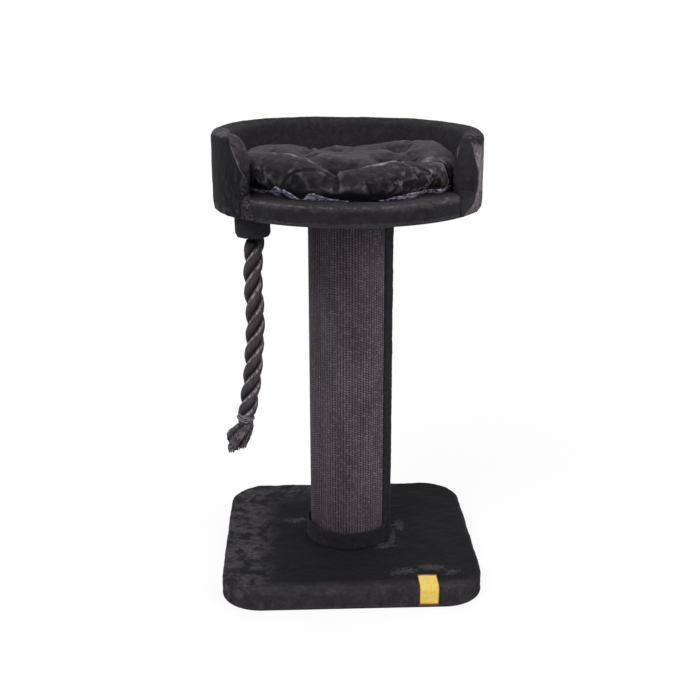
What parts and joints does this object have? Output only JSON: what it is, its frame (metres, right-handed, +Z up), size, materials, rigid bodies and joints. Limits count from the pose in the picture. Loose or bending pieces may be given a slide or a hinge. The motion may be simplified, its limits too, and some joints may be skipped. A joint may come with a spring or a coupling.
{
  "type": "cat scratcher",
  "caption": "Sisal-covered scratching post on a plush base board, with a round walled bed and loose tufted cushion on top and a thick rope hanging under the bed.",
  "frame": {"origin": "middle of the base's underside, on the floor, under the axis of the post and the bed", "axes": "+Z up along the post, +X to the right and -Y to the front, seen from the side where the bed's wall is open"},
  "size_m": [0.502, 0.4975, 0.861],
  "materials": {
    "plush": "black long-pile plush, crushed in places",
    "sisal": "woven sisal mat, dark purple-grey",
    "rope": "three-strand cotton rope, dark grey",
    "satin": "shiny blue-grey satin",
    "label": "bare yellow woven tab",
    "thread": "waxed thread, dark",
    "underlay": "non-woven cloth, black",
    "foam": "soft foam padding",
    "cardboard": "wound cardboard, raw",
    "chipboard": "raw chipboard",
    "plywood": "bent plywood, raw",
    "pine": "raw pine",
    "steel": "zinc-plated steel"
  },
  "bodies": {
    "stand": {"base_board": "chipboard", "base_cover": "plush", "base_underlay": "underlay", "base_staples": "steel", "label_tab": "label", "base_bolts": "steel", "base_washers": "steel", "post_bottom_nuts": "steel", "post_bottom_plug": "pine", "post_tube": "cardboard", "post_top_plug": "pine", "post_top_nuts": "steel", "plug_nails": "steel", "sisal_mat": "sisal", "post_plush_strip": "plush", "mat_staples": "steel", "post_foot_band": "plush", "bed_board": "chipboard", "bed_bolts": "steel", "bed_washers": "steel", "bed_floor_cover": "plush", "bed_underside_cover": "underlay", "bed_staples": "steel", "wall_core": "plywood", "wall_foam": "foam", "wall_cover": "plush", "wall_lining": "plush", "wall_screws": "steel", "rope_block": "pine", "rope_block_screws": "steel", "rope_collar": "plush"},
    "cushion": {"cushion": "plush", "cushion_lining": "satin", "tuft_stitches": "thread"},
    "rope_knot": {"rope_knot": "rope"},
    "rope": {"rope": "rope", "rope_whipping": "thread", "rope_frayed_end": "rope"}
  },
  "joints": [
    {"name": "cushion_lift", "type": "slide", "parent": "stand", "child": "cushion", "axis": [0, 0, 1], "range_m": [0, 0.14]},
    {"name": "rope_swing_side", "type": "hinge", "parent": "stand", "child": "rope_knot", "pos_m": [-0.17597, -0.10996, 0.6782], "axis": [0, 1, 0], "range_deg": [-12, 30]},
    {"name": "rope_swing_fore_aft", "type": "hinge", "parent": "rope_knot", "child": "rope", "pos_m": [-0.17597, -0.10996, 0.6782], "axis": [1, 0, 0], "range_deg": [-30, 12]}
  ]
}
